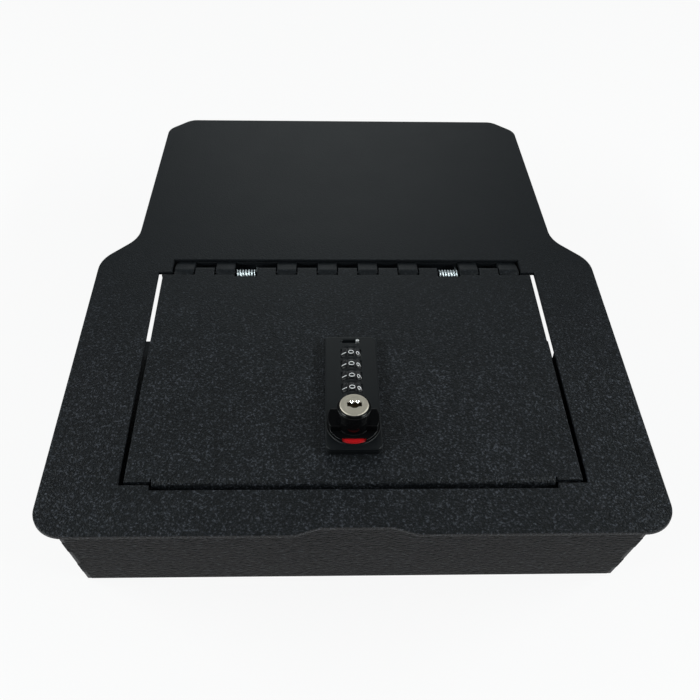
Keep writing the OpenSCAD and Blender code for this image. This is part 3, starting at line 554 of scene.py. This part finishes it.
def tube(path, radius, sides=14):
    """Corners and faces of a round wire along a path that never runs along X: rings at right angles to it,
    and its ends closed."""
    along = np.gradient(path, axis=0)
    along /= np.linalg.norm(along, axis=1, keepdims=True)
    level = np.cross([1.0, 0.0, 0.0], along)
    level /= np.linalg.norm(level, axis=1, keepdims=True)
    upright = np.cross(along, level)
    angle = np.linspace(0.0, 2.0 * pi, sides, endpoint=False)
    turned_by = angle[None, :, None]
    ways = np.cos(turned_by) * level[:, None] + np.sin(turned_by) * upright[:, None]
    ring, point = np.meshgrid(np.arange(len(path) - 1), np.arange(sides), indexing="ij")
    here = ring * sides + point
    beside = ring * sides + (point + 1) % sides
    faces = np.stack([here, beside, beside + sides, here + sides], 2).reshape(-1, 4).tolist()
    last = (len(path) - 1) * sides
    faces.append(list(range(sides))[::-1])
    faces.append(list(range(last, last + sides)))
    return (path[:, None] + radius * ways).reshape(-1, 3), faces


SPRING_WIRE = metal("spring_wire", (0.86, 0.93, 0.96), 0.42)
coil_half = COIL_TURNS * COIL_PITCH / 2.0
turn = np.linspace(0.0, COIL_TURNS * 2.0 * pi, COIL_TURNS * 28 + 1)
bend = np.linspace(pi, 1.5 * pi, 7)
bend_y = -DOOR_LEG + LEG_BEND * (1.0 + np.cos(bend))
bend_z = -COIL_R + LEG_BEND * (1.0 + np.sin(bend))
coil_x = -coil_half + turn / (2.0 * pi) * COIL_PITCH
wire = np.vstack([
    np.linspace((-coil_half, -DOOR_LEG, DOOR_LEG_TOP), (-coil_half, -DOOR_LEG, LEG_BEND - COIL_R + 0.2), 4),
    np.stack([np.full(7, -coil_half), bend_y, bend_z], 1),
    np.linspace((-coil_half, -DOOR_LEG + LEG_BEND + 0.5, -COIL_R), (-coil_half, -0.4, -COIL_R), 8),
    np.stack([coil_x, COIL_R * np.sin(turn), -COIL_R * np.cos(turn)], 1),
    np.linspace((coil_half, 0.5, -COIL_R), (coil_half, WALL_LEG, -COIL_R), 6),
])
for node, pocket in (("left_spring", KNUCKLES.index("-")), ("right_spring", KNUCKLES.rindex("-"))):
    piece(node + "_wound", [tube(wire, WIRE_R)], SPRING_WIRE, "safe", node,
          (sum(knuckle_span(pocket)) / 2.0, HINGE_Y, HINGE_Z), 50.0)


# Strike, door stops and bumpers.
# Bent sheet brackets welded under the front of the opening: the cam turns under the strike, and the closed
# door stays just clear of the rubber bumpers on the two stops.

def plain(name, colour, roughness, level=0.5, grain=0.0, lift=0.0):
    """Plain paint, plastic or rubber, with a fine grain pressed into it where grain isn't 0."""
    material, tree = new_material(name)
    shader = shader_node(tree, "BsdfPrincipled", {"Base Color": (*colour, 1.0), "Roughness": roughness,
                                                  "Specular IOR Level": level})
    if grain > 0.0:
        place = shader_node(tree, "TexCoord", {}).outputs["Object"]
        noise = shader_node(tree, "TexNoise", {"Vector": place, "Scale": 1.0 / grain, "Detail": 2.0})
        bump = shader_node(tree, "Bump", {"Distance": lift, "Height": noise})
        tree.links.new(bump.outputs[0], shader.inputs["Normal"])
    shader_node(tree, "OutputMaterial", {"Surface": shader})
    return material


RUBBER = plain("rubber", (0.012, 0.012, 0.012), 0.75, 0.3, 0.0006, 0.00005)
eased("strike", WALL_EDGE, COAT, "safe")
eased("door_stops", WALL_EDGE, COAT, "safe")
eased("bumpers", 0.7, RUBBER, "safe", 3)


# Door.
# One 3 mm sheet. Its front edge is bent down into a lip, seven fingers of its rear edge are rolled into
# knuckles, and a rectangular cutout takes the lock.

DOOR_X = 140.2
DOOR_Y = (38.8, 234.2)
LIP_X = 123.7
LIP_Y = 37.2
LIP_BEND = 3.6
LIP_DEPTH = 20.0
LIP_RELIEF = 1.0
LIP_CORNER = 0.8
POCKET_CUT = 1.8
LOCK_Y = 79.7
CUTOUT_X = 12.9
CUTOUT_Y = (LOCK_Y - 9.9, LOCK_Y + 79.0)
NEAR = 0.01


def window(half_x, low_y, high_y):
    """Clockwise corners of a rectangular hole."""
    return [(-half_x, low_y), (-half_x, high_y), (half_x, high_y), (half_x, low_y)]


rear = []
for i in reversed(range(len(KNUCKLES))):
    left, right = knuckle_span(i)
    if KNUCKLES[i] != "S":
        inner = HINGE_Y if KNUCKLES[i] == "D" else DOOR_Y[1] - POCKET_CUT
        rear += [(right, DOOR_Y[1]), (right, inner), (left, inner), (left, DOOR_Y[1])]
step = np.abs(np.diff([(DOOR_X, DOOR_Y[1])] + rear, axis=0)).sum(1)
rear = [point for point, length in zip(rear, step) if length > NEAR]
lip_start = LIP_Y + LIP_BEND
relief_x = LIP_X + LIP_RELIEF
outline = [(-DOOR_X, DOOR_Y[0]), (-relief_x, DOOR_Y[0]), (-relief_x, lip_start), (-LIP_X, lip_start),
           (LIP_X, lip_start), (relief_x, lip_start), (relief_x, DOOR_Y[0]), (DOOR_X, DOOR_Y[0]),
           (DOOR_X, DOOR_Y[1]), *rear, (-DOOR_X, DOOR_Y[1])]
sheet = slab([outline, window(CUTOUT_X, *CUTOUT_Y)], PLATE_TOP - SHEET_T, PLATE_TOP, COAT_EDGE,
             lambda x, y: (y > HINGE_Y - NEAR) | ((np.abs(y - lip_start) < NEAR) & (np.abs(x) < LIP_X)))
curl = np.vstack([on_circle(KNUCKLE_R, pi / 2.0 - ROLL, pi / 2.0),
                  on_circle(BORE_R, pi / 2.0, pi / 2.0 - ROLL)])
knuckles = rolled(curl, "D", lambda y, z: (np.abs(y - HINGE_Y) < NEAR) & (z > HINGE_Z))

bend_outer = on_circle(LIP_BEND, pi / 2.0, pi)
bend_inner = on_circle(LIP_BEND - SHEET_T, pi, pi / 2.0, 22.5)
lip_end = LIP_BEND - LIP_DEPTH
leg = arcs([(-LIP_BEND, 0.0, 0.0), (-LIP_BEND, lip_end, LIP_CORNER),
            (-LIP_BEND + SHEET_T, lip_end, LIP_CORNER), (-LIP_BEND + SHEET_T, 0.0, 0.0)], 22.0)
section = np.vstack([bend_outer[:-1], leg, bend_inner[1:]]) + [lip_start, PLATE_TOP - LIP_BEND]
lip = slab([section], -LIP_X, LIP_X, COAT_EDGE,
           lambda y, z: (np.abs(y - lip_start) < NEAR) & (z > PLATE_TOP - SHEET_T), (1, 2, 0))
piece("door_sheet", [sheet, *knuckles, lip], COAT, "door", "door_panel")


# Lock face.
# A die-cast face in satin black: a flat block with soft edges, a raised rib that the four number wheels show
# through, a slot for the code slider and a low ring round the knob.

FACE_X = 17.8
FACE_Y = (59.05, 160.35)
FACE_Z = 5.0
FACE_CORNER = 4.0
FACE_EDGE = 0.7
FACE_BASE = 3.0
FACE_LAYER = 2.5
WHEEL_Z = -1.2
WHEEL_R = 8.8
WHEEL_PITCH = 10.9
WHEEL_Y = [LOCK_Y + 31.0 + WHEEL_PITCH * i for i in range(4)]
WINDOW_X = 6.66
WINDOW_HALF = 3.8
RIB_R = 8.45
RIB_SINK = 0.8
RIB_END = (3.7, 3.1)
RIB_EDGE = 0.35
SLOT_X = 6.3
SLOT_Y = LOCK_Y + 76.0
SLOT_HALF = 1.5
SPINDLE_HOLE_R = 6.1
CORE_X = 12.5
CORE_Y = (LOCK_Y - 9.5, LOCK_Y + 78.6)
BEZEL = [(16.9, 4.8), (16.9, 5.25), (17.05, 5.4), (17.3, 5.4), (17.5, 5.2), (17.5, 4.8), (16.9, 4.8)]
AT_LOCK = (0.0, LOCK_Y, PLATE_TOP)


def round_hole(radius, step):
    """Clockwise points of a round hole."""
    return on_circle(radius, 2.0 * pi, 0.0, step)[:-1]


LOCK_BLACK = plain("lock_black", (0.0065, 0.0078, 0.009), 0.4, 0.3, 0.0005, 0.00003)
face = arcs([(x, y, FACE_CORNER) for x, y in rectangle(FACE_X, *FACE_Y)])
holes = [window(WINDOW_X, y - WINDOW_HALF, y + WINDOW_HALF) for y in WHEEL_Y]
slot = window(SLOT_X, SLOT_Y - SLOT_HALF, SLOT_Y + SLOT_HALF)
holes.append(arcs([(x, y, SLOT_HALF) for x, y in slot], 15.0))
holes.append(round_hole(SPINDLE_HOLE_R, 10.0) + [0.0, LOCK_Y])
parts = [slab([face], PLATE_TOP, PLATE_TOP + FACE_BASE, 0.2),
         slab([face, *holes], PLATE_TOP + FACE_Z - FACE_LAYER, PLATE_TOP + FACE_Z, FACE_EDGE),
         slab([rectangle(CORE_X, *CORE_Y), *holes], PLATE_TOP - SHEET_T, PLATE_TOP + 0.1, 0.1)]
rib_foot = FACE_Z - WHEEL_Z - RIB_SINK
rise = asin(rib_foot / RIB_R)
rib = on_circle(RIB_R, rise, pi - rise, 5.0)[:, ::-1]
rib = np.vstack([rib, [(rib_foot - RIB_SINK, rib[-1, 1]), (rib_foot - RIB_SINK, rib[0, 1])]])[::-1]
rib_starts = [WHEEL_Y[0] - WINDOW_HALF - RIB_END[0]] + [y + WINDOW_HALF for y in WHEEL_Y]
rib_ends = [y - WINDOW_HALF for y in WHEEL_Y] + [WHEEL_Y[3] + WINDOW_HALF + RIB_END[1]]
for start, end in zip(rib_starts, rib_ends):
    parts.append(slab([rib + [PLATE_TOP + WHEEL_Z, 0.0]], start, end, RIB_EDGE, axes=(2, 0, 1)))
bezel, bezel_faces = turned(BEZEL, 96)
parts.append((bezel + AT_LOCK, bezel_faces))
piece("lock_face_cast", parts, LOCK_BLACK, "door", "lock_face")


# Lock case and its screws.
# The case below the door is die-cast too, left in satin black, and four zinc-plated slotted screws pull it
# up against the face.

ZINC = metal("bright_zinc", (0.62, 0.64, 0.66), 0.3)
eased("lock_case", 0.6, LOCK_BLACK, "door")
eased("case_screws", 0.2, ZINC, "door")


# Number wheels.
# Four moulded wheels in semi-gloss black with ten thumb grooves. The ten digits of each are printed on the
# rim in white, and 0 is on top.

WHEEL_HALF = 3.5
WHEEL_EDGE = 0.35
AXLE_HOLE_R = 1.7
GROOVE_DEPTH = 0.35
DIGIT_TURN = pi / 5.0
DIGIT_H = 3.9
DIGIT_WIDEN = 1.45
DIGIT_SHIFT = -0.6
INK = 0.05


def wheel_outline():
    """The rim of a number wheel: a circle that dips by the thumb grooves, one halfway between every two
    digits. Each dip is 2 mm wide and follows the square of a cosine."""
    angle = np.linspace(0.0, 2.0 * pi, 360, endpoint=False)
    away = WHEEL_R * ((angle + DIGIT_TURN / 2.0) % DIGIT_TURN - DIGIT_TURN / 2.0)
    radius = WHEEL_R - GROOVE_DEPTH * np.cos(np.clip(away, -1.0, 1.0) * pi / 2.0) ** 2
    angle += DIGIT_TURN / 2.0
    return np.stack([radius * np.cos(angle), radius * np.sin(angle)], 1)


def corners_of(mesh):
    """The corners of a mesh as an array."""
    flat = np.empty(3 * len(mesh.vertices), np.float32)
    mesh.vertices.foreach_get("co", flat)
    return flat.reshape(-1, 3).astype(float)


def digit_ink(digit):
    """Corners and faces of one printed digit, laid flat: across the wheel in X and round it in Y. The outline
    of the built-in font is thickened, filled and cut into strips, so that it can be wrapped."""
    text = bpy.data.curves.new("digit", "FONT")
    text.body = str(digit)
    text.align_x = "CENTER"
    text.align_y = "CENTER"
    text.size = 5.0
    text.offset = -0.06
    text.extrude = INK
    text.resolution_u = 6
    holder = placed("digit", text)
    bpy.context.view_layer.update()
    mesh = bpy.data.meshes.new_from_object(holder)
    bpy.data.objects.remove(holder)
    low = corners_of(mesh).min(0)
    high = corners_of(mesh).max(0)
    to_middle = (-(low[0] + high[0]) / 2.0, -(low[1] + high[1]) / 2.0, 0.0)
    grow = DIGIT_H / (high[1] - low[1])
    work = bmesh.new()
    work.from_mesh(mesh)
    bmesh.ops.remove_doubles(work, verts=work.verts, dist=1e-5)
    bmesh.ops.translate(work, verts=work.verts, vec=to_middle)
    bmesh.ops.scale(work, verts=work.verts, vec=(grow * DIGIT_WIDEN, grow, 1.0))
    for cut in np.linspace(-DIGIT_H / 2.0, DIGIT_H / 2.0, 9)[1:-1]:
        bmesh.ops.bisect_plane(work, geom=work.verts[:] + work.edges[:] + work.faces[:],
                               plane_co=(0.0, cut, 0.0), plane_no=(0.0, 1.0, 0.0))
    work.to_mesh(mesh)
    work.free()
    return corners_of(mesh), [list(face.vertices) for face in mesh.polygons]


WHEEL_BLACK = plain("wheel_black", (0.006, 0.006, 0.007), 0.3, 0.45)
INK_WHITE = plain("digit_white", (0.95, 0.95, 0.95), 0.5, 0.4)
wheel = slab([wheel_outline(), round_hole(AXLE_HOLE_R, 12.0)], -WHEEL_HALF, WHEEL_HALF, WHEEL_EDGE,
             axes=(2, 0, 1))
digits = []
for digit in range(10):
    corners, faces = digit_ink(digit)
    angle = -digit * DIGIT_TURN - corners[:, 1] / WHEEL_R
    radius = WHEEL_R + corners[:, 2]
    across = corners[:, 0] + DIGIT_SHIFT
    digits.append((np.stack([radius * np.sin(angle), across, radius * np.cos(angle)], 1), faces))
for i, y in enumerate(WHEEL_Y, 1):
    node = "number_wheel_%d" % i
    at_wheel = (0.0, y, PLATE_TOP + WHEEL_Z)
    piece(node + "_moulded", [wheel], WHEEL_BLACK, "wheel_%d" % i, node, at_wheel)
    piece("digits_%d" % i, digits, INK_WHITE, "wheel_%d" % i, origin=at_wheel)


# Axle, detent spring and code slider.
# A ground steel axle carries the wheels, a leaf of spring steel clicks into their grooves from below, and a
# bright pin slides in the slot at the end of the face to set a new code.

STEEL = metal("spring_steel", (0.5, 0.5, 0.5), 0.35)
PIN_BRIGHT = metal("pin_bright", (0.95, 0.95, 0.95), 0.45)
eased("wheel_axle", 0.2, ZINC, "door")
eased("detent_spring", 0.1, STEEL, "door")
eased("code_slider", 0.45, PIN_BRIGHT, "code_slider", 3)


# Status ring.
# A plastic ring round the spindle, fixed to the face and seen through the window of the knob: red in front
# for an open lock and white on the left for a locked one.

RING = [(11.7, 5.02), (16.1, 5.02), (16.1, 5.12), (15.85, 5.3), (15.5, 5.85), (15.2, 5.97), (11.7, 5.97),
        (11.7, 5.02)]


def add_material(made, material, where):
    """Gives another material to the faces of a piece for which where(x, y, upright) is true. X and Y run
    from the axis of the knob in millimetres, and upright is how far a face points up."""
    mesh = made.data
    mesh.materials.append(material)
    centre = np.empty(3 * len(mesh.polygons), np.float32)
    normal = np.empty(3 * len(mesh.polygons), np.float32)
    mesh.polygons.foreach_get("center", centre)
    mesh.polygons.foreach_get("normal", normal)
    x, y, _ = centre.reshape(-1, 3).T / MM
    chosen = where(x, y + HALF_LEN - LOCK_Y, normal.reshape(-1, 3)[:, 2])
    mesh.polygons.foreach_set("material_index", chosen.astype(np.int32))


RED = plain("status_red", (0.5, 0.006, 0.009), 0.4, 0.3)
WHITE = plain("status_white", (0.7, 0.7, 0.7), 0.45, 0.4)
ring = piece("status_ring_printed", [turned(RING, 96)], RED, "door", "status_ring", AT_LOCK)
add_material(ring, WHITE, lambda x, y, upright: np.abs(np.arctan2(y, x)) > radians(135.0))


# Thumb knob.
# Moulded in glossy black: a low hollow flange with a notch that shows the status ring, two wings on it to
# turn the knob by, and a hub that rises to the collar round the key cylinder.

KNOB_R = 16.6
NOTCH_X = 7.6
NOTCH_Y = 13.1
WING_R = 16.5
WING_Y = 7.3
WING_Z = (6.6, 12.0)
WING_CORNER = 0.7
WING_EDGE = 0.5
FLANGE_HOLE_R = 11.0
FLANGE_Z = (6.32, 7.0)
FLANGE_EDGE = 0.28
WALL = [(15.92, 5.32), (16.5, 5.32), (KNOB_R, 5.42), (KNOB_R, 6.7), (15.92, 6.72), (15.92, 5.32)]
HUB = [(SPINDLE_HOLE_R, 5.35), (11.2, 5.35), (11.25, 6.4), (10.95, 7.1), (10.8, 7.4), (10.8, 7.6),
       (10.8, 21.2), (10.8, 21.4), (10.74, 21.64), (10.56, 21.82), (10.3, 21.9), (9.7, 21.95), (9.55, 22.1),
       (9.5, 23.1), (9.35, 23.3), (9.2, 23.3), (9.15, 23.2), (9.15, 22.3), (8.55, 22.3), (8.55, 10.05),
       (SPINDLE_HOLE_R, 10.05), (SPINDLE_HOLE_R, 5.35)]

KNOB_BLACK = plain("knob_black", (0.004, 0.004, 0.0045), 0.14, 0.35)
notch_angle = asin(NOTCH_X / KNOB_R)
around = (notch_angle - pi / 2.0, 1.5 * pi - notch_angle)
rim = np.vstack([on_circle(KNOB_R - 0.02, *around, 4.0), [(-NOTCH_X, -NOTCH_Y), (NOTCH_X, -NOTCH_Y)]])
flange = slab([rim, round_hole(FLANGE_HOLE_R, 6.0)], *FLANGE_Z, FLANGE_EDGE)
tip = asin(WING_Y / WING_R)
wing = [(x, y, WING_CORNER if abs(abs(y) - WING_Y) < NEAR else 0.0)
        for start in (0.0, pi) for x, y in on_circle(WING_R, start - tip, start + tip, 6.5)]
wings = slab([arcs(wing, 15.0)], *WING_Z, WING_EDGE)
piece("thumb_knob_moulded", [flange, turned(WALL, 96, span=around), turned(HUB, 96), wings],
      KNOB_BLACK, "knob", "thumb_knob", AT_LOCK)


# Key cylinder and key plug.
# Turned brass with a satin nickel plate. The face has a rounded rim. The plug in its middle is broached with
# a wavy keyway, and two polished ramps in it lead the key in. The brass of the keyway's walls and wafers is
# painted near black: painted shade for the deep slot.

CYLINDER = [(8.45, 12.0), (8.45, 22.4), (9.0, 22.4), (9.1, 22.5), (9.1, 23.25), (9.02, 23.5), (8.8, 23.74),
            (8.45, 23.87), (8.0, 23.9), (6.3, 23.9), (6.25, 23.85), (6.25, 12.0), (8.45, 12.0)]
PLUG_R = 6.2
PLUG_Z = (14.9, 23.9)
PLUG_END_Z = (13.4, 15.0)
BROACHED_R = 5.6
WAFER_Z = (14.95, 22.6)
KEYWAY = [(-4.4, 1.9, 0.2), (-4.4, -1.6, 0.2), (-2.6, -1.7, 0.4), (-0.9, -2.9, 0.5), (1.2, -2.9, 0.5),
          (3.0, -1.7, 0.4), (4.8, -1.6, 0.2), (4.8, 1.9, 0.2), (3.8, 1.5, 0.2), (3.6, 2.6, 0.8),
          (2.2, 3.6, 0.8), (0.9, 2.6, 0.8), (0.5, 1.7, 0.2), (0.1, 1.7, 0.2), (-0.3, 2.6, 0.8),
          (-1.6, 3.6, 0.8), (-3.0, 2.6, 0.8), (-3.2, 1.5, 0.2)]
LOBE = [(0.1, 22.2), (1.5, 22.2), (1.5, 23.8), (1.35, 23.85), (0.12, 22.55), (0.1, 22.2)]
LOBE_X = (-1.6, 2.2)
LOBE_Y = 2.0

NICKEL = metal("satin_nickel", (0.73, 0.67, 0.57), 0.6, 0.00003)
# Painted shade: brass darkened to near black for the inside of the keyway, where little light reaches.
BRASS_IN_PAINTED_SHADE = metal("wafer_brass_in_painted_shade", (0.05, 0.035, 0.018), 0.45)
POLISHED = metal("polished_nickel", (0.85, 0.83, 0.78), 0.2)
piece("key_cylinder_turned", [turned(CYLINDER, 96)], NICKEL, "knob", "key_cylinder", AT_LOCK)
keyway = arcs(KEYWAY, 20.0)
plug = on_circle(PLUG_R, 0.0, 2.0 * pi, 5.0)[:-1]
broached = piece("key_plug_broached",
                 [slab([plug, keyway[::-1]], *PLUG_Z, 0.15), slab([plug], *PLUG_END_Z, 0.1)],
                 NICKEL, "key", "key_plug", AT_LOCK)
# The keyway's walls take the darkened brass: painted shade in the recess.
add_material(broached, BRASS_IN_PAINTED_SHADE, lambda x, y, upright: (np.abs(upright) < 0.5) & (np.hypot(x, y) < BROACHED_R))
# The wafers fill the whole keyway outline 1.3 mm below the face in the darkened brass, a dark floor of
# painted shade.
piece("key_wafers_in_painted_shade", [slab([keyway], *WAFER_Z, 0.1)], BRASS_IN_PAINTED_SHADE, "key", origin=AT_LOCK)
lobe, lobe_faces = turned(LOBE, 24, span=(0.0, pi))
piece("keyway_lobes", [(lobe + [x, LOBE_Y, 0.0], lobe_faces) for x in LOBE_X], POLISHED, "key",
      origin=AT_LOCK)


# Spindle, cam, washer and nut.
# A zinc-plated spindle passes down through the case. The cam sits on its square end and is held by a washer
# and a hexagon nut.

for node, width in (("spindle", 0.3), ("cam", 0.5), ("cam_washer", 0.2), ("cam_nut", 0.3)):
    eased(node, width, ZINC, "knob")
